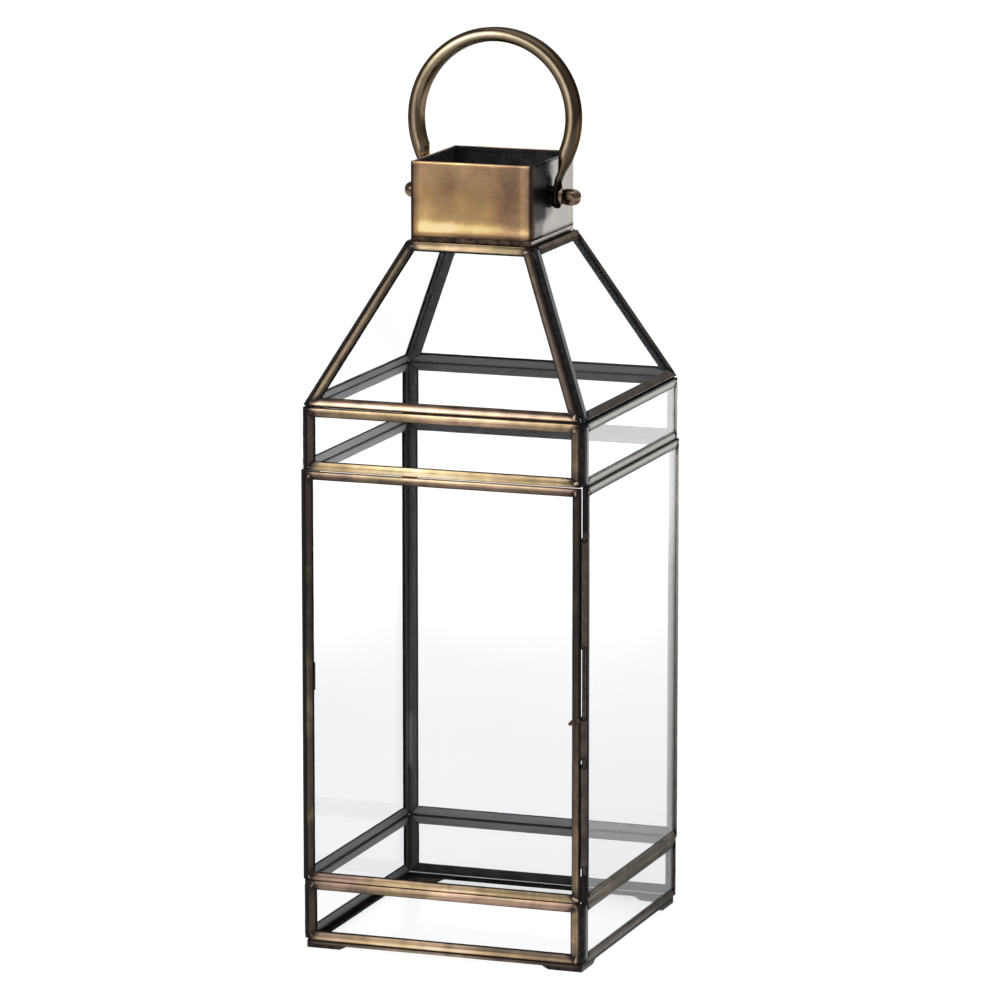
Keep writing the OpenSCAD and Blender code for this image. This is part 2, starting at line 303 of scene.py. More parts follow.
def patinated_brass(
        name, tones=ANTIQUE, pinks=ANTIQUE_PINK, streaky=1.0, blotchy=1.0, roughness=0.17, rim=0.6):
    """Antique brass. The mesh's finish says how polished each point is, with painted highlight added, how
    near an edge, how grey, which is painted reflection, and how rosy.

    rim is how much is kept of the sheen that metal has when seen along its surface. Edges keep less.
    """
    t = Tree(name)
    gold, edge, grey, rosy = t.mesh_finish()
    streaks = t.noise(1.0, 4.0, 0.6, 0.3, t.drawn(14, 1100))
    broad = t.noise(38, 2.0, 0.5, 0.3)
    blotch = t.noise(85, 3.0, 0.5, 0.5)
    fine = t.noise(900, 3.0, 0.6)
    speck = t.ramp(t.noise(330, 2.0, 0.5), 0.72, 0.78)

    uneven = t.plus(
        t.times(t.minus(streaks, 0.5), 0.80 * streaky),
        t.times(t.minus(blotch, 0.5), 0.60 * blotchy))
    reach = t.ramp(gold, 0.0, 0.6, 0.35, 1.0)
    polish_plus_sheen = t.plus(gold, t.times(uneven, reach))
    polish_plus_sheen = t.minus(polish_plus_sheen, t.times(edge, 0.30), True)
    colour = t.colours(polish_plus_sheen, tones)
    pink = t.times(t.ramp(broad, 0.47, 0.58), t.ramp(streaks, 0.36, 0.60, 0.3, 1.0))
    pink = t.plus(t.times(pink, 0.45 * blotchy), rosy, True)
    colour = t.mix(pink, colour, t.colours(polish_plus_sheen, pinks))
    olive = t.times(t.ramp(broad, 0.44, 0.34), t.ramp(blotch, 0.40, 0.62, 0.1, 0.45))
    colour = t.mix(t.times(olive, blotchy), colour, rgb(112, 104, 70))
    # Painted reflection: where the mesh's grey says so, the pale room's grey is mixed in
    colour = t.mix(grey, colour, t.colours(polish_plus_sheen, MIRRORED_GREY))
    colour = t.mix(t.ramp(edge, 0.70, 1.0, 0.0, 0.90), colour, rgb(36, 29, 28))
    colour = t.mix(t.times(speck, 0.5), colour, rgb(44, 33, 28))

    rough = t.plus(roughness, t.times(blotch, 0.14))
    rough = t.plus(rough, t.times(edge, 0.20))
    normal = t.bump(streaks, 0.08 * streaky, 0.0002)
    normal = t.bump(fine, 0.06, 0.0001, normal)
    return t.principled({
        "Base Color": colour, "Metallic": 1.0, "Roughness": rough, "Normal": normal,
        "Specular Tint": t.ramp(edge, 0.2, 0.9, rim, 0.35 * rim),
    })


def oxide(name, dark, light, grey_tone, rim=1.0, roughness=0.42):
    """Brass gone dark where it was never polished: the folds, the edges and the inner faces, with a pale grey
    painted on as painted reflection where the mesh's grey says so.
    """
    t = Tree(name)
    _, edge, grey, _ = t.mesh_finish()
    streaks = t.noise(1.0, 3.0, 0.6, 0.2, t.drawn(20, 900))
    blotch = t.noise(120, 4.0, 0.6, 0.5)
    fine = t.noise(800, 3.0, 0.6)
    colour = t.mix(t.ramp(blotch, 0.35, 0.68), dark, light)
    colour = t.mix(t.ramp(streaks, 0.55, 0.78, 0.0, 0.35), colour, light)
    # Painted reflection: a pale grey where the mesh's grey says so
    colour = t.mix(t.times(grey, t.ramp(streaks, 0.2, 0.8, 0.82, 1.1)), colour, grey_tone)
    colour = t.mix(t.ramp(edge, 0.70, 0.92), colour, rgb(22, 21, 24))
    rough = t.plus(roughness, t.times(blotch, 0.2))
    normal = t.bump(blotch, 0.10, 0.0003)
    normal = t.bump(fine, 0.10, 0.0001, normal)
    return t.principled({
        "Base Color": colour, "Metallic": 0.35, "Roughness": rough, "Normal": normal,
        "Specular IOR Level": 0.20 * rim, "Specular Tint": (rim, rim, rim, 1),
    })


def plain_metal(name, dark, light, roughness, size=160.0):
    """A smaller fitting's metal: two tones in blotches, dark in its pits."""
    t = Tree(name)
    blotch = t.noise(size, 4.0, 0.6, 0.6)
    fine = t.noise(size * 9, 3.0, 0.6)
    colour = t.mix(t.ramp(blotch, 0.38, 0.66), dark, light)
    colour = t.mix(t.ramp(fine, 0.62, 0.74, 0.0, 0.5), colour, rgb(30, 24, 22))
    rough = t.plus(roughness, t.times(blotch, 0.18))
    normal = t.bump(blotch, 0.12, 0.0004)
    normal = t.bump(fine, 0.10, 0.0001, normal)
    return t.principled({
        "Base Color": colour, "Metallic": 1.0, "Roughness": rough, "Normal": normal,
        "Coat Weight": 0.15, "Coat Roughness": 0.15,
    })


def clear_glass(name, top, foot, index):
    """Float glass: a trace of tint that drifts, painted greyer towards its foot as painted shade, and an
    almost true surface.
    """
    t = Tree(name)
    drift = t.noise(14, 2.0, 0.5)
    height = t.node("ShaderNodeSeparateXYZ", {"Vector": t.place}).outputs[2]
    level = t.plus(height, t.times(t.minus(drift, 0.5), 0.03))
    # Painted shade: the glass greys towards its foot
    tint = t.mix(t.ramp(level, 0.13, 0.23), foot, top)
    normal = t.bump(t.noise(9, 1.0, 0.4), 0.02, 0.002)
    glass = t.node("ShaderNodeBsdfPrincipled", {
        "Base Color": tint, "Roughness": 0.0, "Transmission Weight": 1.0, "IOR": index, "Normal": normal,
    })
    through = t.node("ShaderNodeBsdfTransparent", {"Color": (0.96, 0.965, 0.97, 1)})
    shadow = t.node("ShaderNodeLightPath").outputs["Is Shadow Ray"]
    return t.finish(t.either(shadow, glass, through))


BRASS = patinated_brass("antique_brass")
COLLAR = patinated_brass("collar_brass", (
    (0.00, rgb(58, 45, 38)), (0.25, rgb(118, 92, 70)), (0.50, rgb(166, 132, 93)),
    (0.72, rgb(196, 160, 112)), (0.88, rgb(240, 206, 140)), (1.00, rgb(252, 228, 172))), (
    (0.00, rgb(60, 46, 42)), (0.25, rgb(122, 96, 80)), (0.50, rgb(172, 138, 112)),
    (0.72, rgb(198, 164, 132)), (0.88, rgb(236, 202, 152)), (1.00, rgb(250, 226, 186))),
    streaky=0.15, blotchy=0.75, roughness=0.15, rim=0.75)
BAR = patinated_brass("handle_bar_brass", (
    (0.00, rgb(50, 42, 37)), (0.25, rgb(84, 72, 58)), (0.50, rgb(128, 112, 88)),
    (0.75, rgb(184, 168, 138)), (0.90, rgb(220, 206, 172)), (1.00, rgb(242, 230, 200))),
    streaky=0.5, blotchy=0.5, roughness=0.13, rim=0.35)
# OXIDE's third tone, the pale grey, is painted reflection on inner faces that mirror the lit room
OXIDE = oxide("dark_oxide", rgb(28, 28, 31), rgb(50, 48, 51), rgb(156, 156, 158))
BROWN = oxide("brown_oxide", rgb(40, 32, 31), rgb(78, 66, 60), rgb(104, 98, 92), 0.3, 0.55)
DARK = plain_metal("dark_brass", rgb(40, 32, 28), rgb(88, 72, 58), 0.18)
FOOT = plain_metal("foot_brass", rgb(26, 21, 20), rgb(58, 47, 41), 0.34)
KNOB = plain_metal("knob_brass", rgb(60, 47, 39), rgb(146, 123, 100), 0.16)
WIRE = plain_metal("hinge_wire", rgb(40, 34, 32), rgb(84, 72, 62), 0.30)
SOLDER = plain_metal("solder", rgb(88, 72, 60), rgb(176, 156, 132), 0.20, 300.0)
# Dark solder, made nearly black so that it also gives the painted shade of the corner notches
SEAM = plain_metal("seam_solder", rgb(20, 19, 22), rgb(46, 41, 40), 0.36, 240.0)
# Each glass's second colour, at its foot, is painted shade
CLEAR = clear_glass("clear_glass", (0.997, 0.998, 0.998, 1), (0.995, 0.997, 0.997, 1), 1.06)
TALL = clear_glass("tall_glass", (0.996, 0.997, 0.997, 1), (0.885, 0.887, 0.898, 1), 1.10)
GLASS = clear_glass("float_glass", (0.992, 0.994, 0.994, 1), (0.920, 0.923, 0.935, 1), 1.45)

# ---- Mitred frames of folded channel ------------------------------------------


def channel_profile(width):
    """Points round the folded section: (inward, outward, part).

    They go from the lip along the outer face, round the fold, down the rim, back along the inner face, and
    into the groove that holds the glass.
    """
    t, fold, tight, crown = CHANNEL_T, 0.80, 0.16, 0.34
    middle = width * 0.46
    lip = (t - GLASS_T) / 2
    points = [
        (width, t - lip, "groove"), (width - 0.04, t - lip + 0.22, "groove"),
        (width - 0.14, t - crown - 0.06, "outer"),
    ]
    for k in range(11):
        v = width - 0.30 - (width - 0.30 - fold) * k / 10
        points.append((v, t - crown + crown * (1 - ((v - middle) / middle) ** 2), "outer"))
    top = points[-1][1]
    for k in range(1, 5):
        a = math.radians(22.5 * k)
        points.append((fold - fold * math.sin(a), top - fold + fold * math.cos(a), "outer"))
    points += [(0, w, "rim") for w in (1.6, 1.1, 0.6)]
    for k in range(4):
        a = math.radians(90 - 30 * k)
        points.append((tight - tight * math.sin(a), tight - tight * math.cos(a), "rim"))
    for k in range(9):
        v = fold + (width - 0.30 - fold) * k / 8
        points.append((v, 0.10 + 0.10 * abs(v - middle) / middle, "inner"))
    points += [(width - 0.14, 0.25, "inner"), (width - 0.04, lip - 0.22, "groove"), (width, lip, "groove")]
    points += [(SHEET + 0.02, lip, "groove"), (SHEET + 0.02, t - lip, "groove")]
    return points


def corner_inset(outline, i, w):
    """The outline's corner i, moved inward by w from both of its edges."""
    def unit(k):
        d = outline[(k + 1) % 4] - outline[k % 4]
        return d / d.length
    d0, d1 = unit(i + 3), unit(i)
    n0, n1 = Vector((-d0.y, d0.x)), Vector((-d1.y, d1.x))
    return outline[i] + (n0 + n1) * (w / (1 + n0.dot(n1)))


# How polished each length of a front frame is, with a painted highlight along it: at its ends, how much more
# at its brightest, where that is and how wide, the share of the brightness left beside the lip, and how dark
# the fold's edge is. The lengths are the foot, the right stile, the head and the left stile.
FRONT = {
    "base": (
        (0.48, 0.44, 0.42, 0.28, 0.55, 0.85), (0.26, 0.14, 0.5, 0.4, 0.9, 0.8),
        (0.42, 0.22, 0.40, 0.30, 0.80, 0.35), (0.06, 0.03, 0.5, 0.4, 0.9, 0.9)),
    "side": (
        (0.50, 0.32, 0.50, 0.30, 0.58, 0.35), (0.06, 0.26, 0.13, 0.26, 0.7, 0.8),
        (0.44, 0.26, 0.42, 0.30, 0.40, 0.30), (0.08, 0.18, 0.66, 0.20, 0.7, 0.9)),
    "band": (
        (0.58, 0.54, 0.44, 0.28, 0.78, 0.20), (0.22, 0.08, 0.5, 0.4, 0.8, 0.9),
        (0.50, 0.34, 0.42, 0.30, 0.56, 0.80), (0.10, 0.05, 0.5, 0.4, 0.8, 0.9)),
    "roof": (
        (0.46, 0.36, 0.45, 0.35, 0.40, 0.80), (0.12, 0.06, 0.8, 0.3, 0.5, 0.9),
        (0.38, 0.30, 0.55, 0.35, 0.60, 0.40), (0.16, 0.16, 0.75, 0.4, 0.9, 0.9)),
}
# The same lengths on the right, painted greyer as painted reflection of the pale room: how polished, how
# grey, how dark the fold's edge is
RIGHT = {
    "base": ((0.52, 0.85, 0.3), (0.36, 0.80, 0.8), (0.66, 0.80, 0.6), (0.03, 0.4, 0.9)),
    "side": ((0.76, 0.85, 0.6), (0.85, 0.95, 0.8), (1.00, 0.99, 0.9), (0.05, 0.3, 0.9)),
    "band": ((1.00, 0.99, 0.9), (0.80, 0.95, 0.8), (1.05, 0.99, 0.9), (0.00, 0.6, 1.0)),
    "roof": ((0.46, 0.85, 0.8), (0.30, 0.70, 0.8), (0.44, 0.60, 0.8), (0.10, 0.4, 0.9)),
}
# Painted reflection: how much pale grey is painted on the inner faces of the panels' feet and heads, on the
# left and at the back
INNER_LEFT = {"base": (0.55, 0.52), "side": (0.50, 1.0), "band": (1.0, 0.92), "roof": (0.60, 0.5)}
INNER_BACK = {"base": (0.0, 0.38), "side": (0.50, 0.12), "band": (0.05, 0.16), "roof": (0.28, 0.0)}
# How rosy the front lengths are, beyond the metal's own patches
ROSY = {
    ("base", 0): 0.20, ("base", 2): 0.45, ("side", 0): 0.05, ("side", 2): 0.50, ("band", 2): 0.15,
    ("roof", 0): 0.45,
}
LIT_RIMS = (("base", 2), ("side", 0), ("side", 2), ("band", 0))  # front rims that catch the light


def finish_at(section, face, side, part, across, rise, along):
    """The finish of a point of a frame: how polished, with painted highlight added; how near an edge; how
    grey, which is painted reflection; and how rosy.

    across goes from its fold to its lip, rise is its height in millimetres above the inner face, and along
    goes from one end of its length to the other.
    """
    lip_dark = smooth(0.84, 0.97, across)
    if part == "groove":
        return 0.0, 1.0, 0.0, 0.0
    if part == "inner":
        inner = {"left": INNER_LEFT, "back": INNER_BACK}.get(face)
        if inner and section != "floor" and side % 2 == 0:
            seam_dark = smooth(0.34, 0.14, across) if section != "roof" else 0.6 * smooth(0.6, 1.0, across)
            if face == "back":
                seam_dark *= 0.78
            # Painted reflection: the inner faces' pale grey from the tables above
            return 0.1, max(0.75 * lip_dark, seam_dark), inner[section][side // 2], 0.0
        # Painted reflection: the back panel's right stile greys towards its lip
        if (face, section, side) == ("back", "side", 3):
            return 0.1, 0.0, smooth(0.25, 0.9, across), 0.0
        grey = glint = 0.0
        # Painted highlight: a pale streak low on the stiles of the rear left post, where light shows through
        # between them
        if (face, side) in (("back", 1), ("left", 3)):  # the two that meet in the rear left post
            grey = 0.13
            if section == "side":
                up = along if side == 1 else 1 - along
                low = smooth(0.27, 0.25, up)
                glint = (0.35 * smooth(0.55, 0.30, up) + 0.45 * low) * smooth(0.12, 0.13, up)
                grey += 0.08 * low + glint * bell(across, 0, 0.32)
        return 0.1, max(lip_dark, smooth(0.20, 0.06, across) * max(0.0, 1 - 2 * glint)), grey, 0.0
    if section == "floor":
        if part == "rim" and side == 0:
            polish_plus_sheen = (0.22 + 0.42 * bell(along, 0.46, 0.26)) * smooth(2.1, 1.3, rise)
            return polish_plus_sheen, smooth(1.5, 2.2, rise), 0.6, 0.2
        return 0.0, 1.0, 0.3, 0.0
    rosy = 0.0
    # Painted reflection: the right faces take the grey of the pale room they mirror
    if face == "right":
        polish_plus_sheen, grey, dark = RIGHT[section][side]
        share = 0.80 + 0.20 * smooth(0.75, 0.35, across)
        lip_dark *= 0.5
    else:
        ends, more, middle, wide, lip_share, dark = FRONT[section][side]
        # Painted highlight: brighter towards the middle of the length
        polish_plus_sheen = ends + more * bell(along, middle, wide)
        grey = 0.08 if face in ("back", "left") else 0.0
        rosy = ROSY.get((section, side), 0.0)
        if (section, side) == ("base", 2):
            rosy += 0.35 * smooth(0.50, 0.25, along)
        if (section, side) == ("side", 0):
            rosy += 0.6 * smooth(0.35, 0.15, along)
        # Painted highlight: brighter towards the fold, dimmer beside the lip
        share = lip_share + (1 - lip_share) * smooth(0.66, 0.24, across)
    if part == "rim":
        lit = face == "front" and (section, side) in LIT_RIMS
        return polish_plus_sheen * 0.75, 0.2 if lit else 1.0, grey, rosy
    ends_dark = 0.25 + 0.75 * smooth(-0.01, 0.05, along) * smooth(1.01, 0.95, along)
    fold_dark = dark * smooth(0.13, 0.02, across)
    if side % 2:
        fold_dark = dark * smooth(0.30, 0.06, across)
    return polish_plus_sheen * share * ends_dark, max(0.9 * lip_dark, fold_dark), grey, rosy


def channel_frame(name, outline, width, place, section, face, node, body, seed):
    """One panel's frame: four mitred lengths of channel, each a closed piece of slightly wavy brass."""
    b = Builder()
    outline = [Vector(p) for p in outline]
    profile = channel_profile(width)
    around = [0.0]
    for p, q in zip(profile, profile[1:]):
        around.append(around[-1] + math.dist(p[:2], q[:2]))
    for side in range(4):
        polished = {"outer"}
        if (section == "floor" and side == 0) or (face == "front" and (section, side) in LIT_RIMS):
            polished.add("rim")
        # Painted shade: the right panels' near stiles, beside the shaded corner, get only the dark oxide
        if face == "right" and side == 3 and section != "side":
            polished.clear()
        dull = [part not in polished for _, _, part in profile]
        kinds = [int(a or b) for a, b in zip(dull, dull[1:] + dull[:1])]
        start, end = outline[side], outline[(side + 1) % 4]
        d = (end - start).normalized()
        n = Vector((-d.y, d.x))
        length = (end - start).length
        lean_in = (corner_inset(outline, side, 1.0) - start).dot(d)
        lean_out = (corner_inset(outline, (side + 1) % 4, 1.0) - end).dot(d)
        steps = max(10, round(length / 4.5))
        rings = []
        for k in range(steps + 1):
            t = k / steps
            points = []
            for (v, w, part), dist in zip(profile, around):
                s0 = lean_in * v + 0.06
                s1 = length + lean_out * v - 0.06
                s = s0 + (s1 - s0) * t
                flat = start + d * s + n * v
                p = place(flat.x, flat.y, 0)
                dent = 0.5 + 0.5 * wobble(p, 17, seed + side)
                kink = wobble(p, 9, seed + side + 20)
                w2, v2 = w, v
                if w > CHANNEL_T * 0.85:
                    w2 = w - 0.10 * dent
                if v > width * 0.8:
                    v2 = v + 0.08 * kink
                flat = start + d * s + n * v2
                gold, edge, grey, rosy = finish_at(section, face, side, part, v / width, w, s / length)
                edge = max(edge, 0.9 * (1 - smooth(0, 0.010, t)), 0.9 * smooth(0.990, 1, t))
                points.append((
                    place(flat.x, flat.y, w2), (gold, edge, grey, rosy), (s * MM + seed, dist * MM)))
            rings.append(b.ring(points))
        b.loft(rings, kinds=kinds, cap_kind=1)
    b.make(name, (BRASS, OXIDE), body, "channel_brass", node, angle=50)
    if section != "floor":
        FRAMES.append((outline, width, place, body))


def rectangle(half, height):
    return [(-half, 0), (half, 0), (half, height), (-half, height)]


def turned(turn, x, y, z):
    for _ in range(turn):
        x, y = -y, x
    return Vector((x, y, z))


def upright(turn, half, z0):
    return lambda u, v, w: turned(turn, u, -half - w, z0 + v)


FRAMES = []  # each panel's outline, width, place and body, for the solder at its mitres
for section in ("base", "side", "band"):
    for turn, face in enumerate(FACES):
        node = f"{section}_channel_{face}"
        if node not in NODES:
            continue
        lo, hi = box_mm(node)
        half = (hi.x - lo.x) / 2 if turn % 2 == 0 else (hi.y - lo.y) / 2
        channel_frame(
            f"{section}_frame_{face}", rectangle(half, hi.z - lo.z), CHANNEL_W, upright(turn, half, lo.z),
            section, face, node, "case", len(FRAMES) * 3 + 1)

roof_lo, roof_hi = box_mm("roof_channel_front")
PANEL_HALF = roof_hi.x
ROOF_Z = roof_lo.z
ROOF_RUN = PANEL_HALF - ROOF_TOP_HALF
ROOF_PITCH = math.atan2(ROOF_H, ROOF_RUN)
ROOF_SLOPE = math.hypot(ROOF_RUN, ROOF_H)


def sloped(turn):
    c, s = math.cos(ROOF_PITCH), math.sin(ROOF_PITCH)
    return lambda u, v, w: turned(turn, u, -PANEL_HALF + v * c - w * s, ROOF_Z + v * s + w * c)


ROOF_OUTLINE = [
    (-PANEL_HALF, 0), (PANEL_HALF, 0), (ROOF_TOP_HALF, ROOF_SLOPE), (-ROOF_TOP_HALF, ROOF_SLOPE),
]
for turn, face in enumerate(FACES):
    channel_frame(
        f"roof_frame_{face}", ROOF_OUTLINE, CHANNEL_W, sloped(turn),
        "roof", face, f"roof_channel_{face}", "case", len(FRAMES) * 3 + 1)

door_lo, door_hi = box_mm("door_channel")
channel_frame(
    "door_frame", rectangle(door_hi.x, door_hi.z - door_lo.z), DOOR_CHANNEL_W,
    upright(0, -door_hi.y, door_lo.z), "side", "front", "door_channel", "door", 91)

floor_lo, floor_hi = box_mm("floor_channel")
floor_outline = [(x * floor_hi.x, y * floor_hi.y) for x, y in ((-1, -1), (1, -1), (1, 1), (-1, 1))]
channel_frame(
    "floor_frame", floor_outline, CHANNEL_W, lambda u, v, w: Vector((u, v, floor_lo.z + w)),
    "floor", "floor", "floor_channel", "case", 97)

# ---- Solder ---------------------------------------------------------------------

PLAIN = (0.5, 0.2, 0, 0)  # the finish of pieces whose material doesn't use it


def seam(b, place, length, radius, sweep, seed):
    """A run of solder along place's third axis: a wedge of a rod, a little uneven, with rounded ends."""
    rings = []
    steps = max(10, round(length / 2.5))
    for k in range(steps + 1):
        t = k / steps
        swell = 0.90 + 0.07 * wobble((t * length, seed, 0), 4.0, seed)
        swell *= 0.75 + 0.25 * smooth(0.0, 1.5, t * length) * smooth(0.0, 1.5, (1 - t) * length)
        points = [(place(0, 0, length * t), PLAIN, (0, t))]
        for j in range(11):
            a = sweep[0] + (sweep[1] - sweep[0]) * j / 10
            r = radius * swell * (0.98 + 0.02 * wobble((math.cos(a) * 2, math.sin(a) * 2, k), 1.7, seed))
            points.append((place(r * math.cos(a), r * math.sin(a), length * t), PLAIN, (j / 10, t)))
        rings.append(b.ring(points))
    b.loft(rings)


SIDE_EDGE = box_mm("side_channel_right")[0].y  # the front edge of the right side panel
corner_seams = Builder()
for section, corners in (("base", range(4)), ("side", (1, 2)), ("band", range(4))):
    lo, hi = box_mm(f"{section}_channel_back")
    half, z, length = hi.x, lo.z + 0.5, hi.z - lo.z - 1.0
    for turn in corners:
        seam(
            corner_seams,
            lambda x, y, s, half=half, z=z, turn=turn: turned(turn, half + x, -half + y, z + s),
            length, 2.9, (-math.pi / 2, 0), z + turn)
post_foot = box_mm("side_channel_right")[0].z + 1
seam(
    corner_seams, lambda x, y, s: Vector((-SIDE_EDGE + x, SIDE_EDGE + y, post_foot + s)),
    box_mm("hinge_tube_lower")[0].z - post_foot - 4, 2.2, (-math.pi / 2, 0), 5)
corner_seams.make("corner_seams", (SEAM,), "case", "solder", "corner_solder")

hip_seams = Builder()
hip = Vector((-ROOF_RUN, ROOF_RUN, ROOF_H))
hip_dir = hip.normalized()
out_dir = Vector((ROOF_H, -ROOF_H, 2 * ROOF_RUN)).normalized()
side_dir = hip_dir.cross(out_dir)
for turn in range(4):
    def on_hip(x, y, s, turn=turn):
        p = Vector((PANEL_HALF, -PANEL_HALF, ROOF_Z)) + hip_dir * (3.5 + s) + out_dir * x + side_dir * y
        return turned(turn, *p)
    seam(hip_seams, on_hip, hip.length - 7, 2.4, (-0.62, 0.62), turn)
hip_seams.make("hip_seams", (SEAM,), "case", "solder", "hip_solder")


def dab(b, place, centre, size, turn, seed):
    """A low smear of solder on a mitre: an uneven dome, longer across the mitre, closed underneath."""
    rings = []
    for lift, share in ((-0.25, 0.9), (-0.04, 1.0), (0.07, 0.82), (0.13, 0.52), (0.15, 0.2)):
        points = []
        for j in range(16):
            a = 2 * math.pi * j / 16
            rim = size * share * (1 + 0.45 * wobble((math.cos(a), math.sin(a), 0), 0.7, seed))
            x, y = rim * math.cos(a), 0.55 * rim * math.sin(a)
            point = place(
                centre.x + x * math.cos(turn) - y * math.sin(turn),
                centre.y + x * math.sin(turn) + y * math.cos(turn),
                CHANNEL_T - 0.10 + lift)
            points.append((point, PLAIN, (j / 16, share)))
        rings.append(b.ring(points))
    b.loft(rings)


dabs = {"case": Builder(), "door": Builder()}
for index, (outline, width, place, body) in enumerate(FRAMES):
    for i in range(4):
        seed = index * 4 + i
        size = (1.0 if i in (0, 3) else 1.6) + 0.4 * math.sin(seed * 2.4)
        where = corner_inset(outline, i, width * (0.48 + 0.14 * math.sin(seed * 5.1)))
        dab(dabs[body], place, where, size, math.radians(45 if i % 2 else -45) + math.sin(seed), seed)
dabs["case"].make("mitre_solder_case", (SOLDER,), "case", "solder")
dabs["door"].make("mitre_solder_door", (SOLDER,), "door", "solder")

# ---- Chimney collar ---------------------------------------------------------------

collar_lo, collar_hi = box_mm("chimney_collar")


def rounded_square(half, radius, per_side, per_corner):
    """Points round a square with rounded corners, from the front: (point, how near a corner, face)."""
    points = []
    for turn in range(4):
        reach = half - radius
        for k in range(per_side):
            x = -reach + 2 * reach * k / per_side
            points.append((turned(turn, x, -half, 0), smooth(reach * 0.86, reach, abs(x)), turn))
        for k in range(per_corner):
            a = math.pi / 2 * k / per_corner
            x, y = reach + radius * math.sin(a), -reach - radius * math.cos(a)
            points.append((turned(turn, x, y, 0), 1.0, turn))
    return points


def collar():
    b = Builder()
    half, z0, height = collar_hi.x, collar_lo.z, collar_hi.z - collar_lo.z
    sheet, hem, hem_h = 0.9, 1.6, 3.0
    rows = 26
    outline = [(0.0, (height - 0.8) * k / rows) for k in range(rows + 1)]
    for k in range(1, 8):
        a = math.pi * k / 8
        outline.append((0.8 - 0.8 * math.cos(a), height - 0.8 + 0.8 * math.sin(a)))
    inner_from = len(outline) - 2
    outline += [(hem, height - 0.8), (hem, height - hem_h + 0.3), (hem - 0.25, height - hem_h)]
    outline += [(sheet, height - hem_h - 0.3)]
    outline += [(sheet, (height - hem_h - 0.6) * (1 - k / 10)) for k in range(1, 11)]
    rings = []
    for inset, z in outline:
        points = []
        path = rounded_square(half - inset, max(1.0 - inset, 0.12), 30, 5)
        for n, (p, near, turn) in enumerate(path):
            out = turned(turn, 0, -1, 0)
            sink = 0.16 * (0.5 + 0.5 * wobble((p.x, p.y, z), 19, 3 + turn)) * (1 - near)
            point = Vector((p.x, p.y, z0 + z)) - out * sink
            across = p.dot(turned(turn, 1, 0, 0)) / half
            # Painted reflection: band is a bright band low on the faces, where they mirror the lit room
            band = smooth(1.4, 4.0, z) * smooth(11.5, 5.0, z) * smooth(-0.98, -0.84, across)
            gold = 0.47 - 0.20 * bell(across, 0.66, 0.22) + 0.16 * wobble((p.x, p.y, z), 15, 8)
            gold += 0.05 * smooth(0.0, -0.7, across)
            # Brighter low on the left; a painted highlight runs up the face near its right-hand corner
            gold += 0.08 * smooth(22, 12, z) * smooth(0.0, -0.6, across) + 0.16 * smooth(0.78, 0.86, across)
            # Painted shade: darker at each face's left-hand corner
            gold -= 0.14 * smooth(-0.84, -0.96, across)
            gold += (0.48 - 0.30 * smooth(0.45, 0.80, across) * smooth(5.0, 8.0, z)) * band
            # Painted highlight: a pale line along the top lip
            gold += 0.30 * smooth(height - 1.6, height - 0.5, z) * (1 - 0.7 * smooth(0.3, 0.8, abs(across)))
            # Painted shade at the rounded corners and along both upright edges; dark along the foot
            edge = near * smooth(height, height - 1.4, z)
            edge = max(
                edge, smooth(2.2, 0.8, z), 0.85 * smooth(-0.93, -0.985, across), smooth(0.905, 0.95, across))
            rosy = 0.45 * smooth(24, 34, z) + 0.35 * smooth(0.3, 0.8, across)
            grey = 0.0
            if turn == 1:
                # Painted reflection: the right face is pale grey where it mirrors the pale room, brighter
                # towards the back, and dark on its front half above the foot, where the ring's arm and knob
                # are mirrored and shade it
                rosy = 0.6
                grey = 0.97 * smooth(-0.94, -0.80, across)
                drift = 0.25 * wobble((p.x, p.y, z), 12, 4) + 0.35 * smooth(16, 6, z)
                far = smooth(-0.25, 0.10, across + drift)
                gold = 0.20 + 0.56 * far
                gold -= 0.06 * smooth(height * 0.30, height * 0.45, z) * smooth(0.2, -0.2, across)
                edge = max(smooth(2.2, 0.8, z), 0.62 * smooth(-0.72, -0.92, across))
                edge = max(edge, 0.55 * smooth(-0.15, -0.40, across) * smooth(6, 12, z))
            points.append((point, (gold, edge, grey, rosy), (n * 0.002, z * MM)))
        rings.append(b.ring(points))
    b.loft(rings, closed=True)
    per_ring = len(rings[0])
    b.kinds = [int(n // per_ring >= inner_from) for n in range(len(b.kinds))]
    obj = b.make("chimney_collar_shell", (COLLAR, OXIDE), "case", "collar_brass", "chimney_collar", angle=55)
    drill(obj, SHANK_R + 0.05, (0, 0, PIVOT_Z), 4 * half)


knob_lo, knob_hi = box_mm("handle_knob_right")
PIVOT_Z = (knob_lo.z + knob_hi.z) / 2
collar()

# ---- Ring handle ------------------------------------------------------------------

LEAN = Matrix.Rotation(-RING_LEAN, 3, "X")


def in_handle(x, y, z):
    """A point of the handle, given about its pivots with the ring upright."""
    return LEAN @ Vector((x, y, z)) + Vector((0, 0, PIVOT_Z))


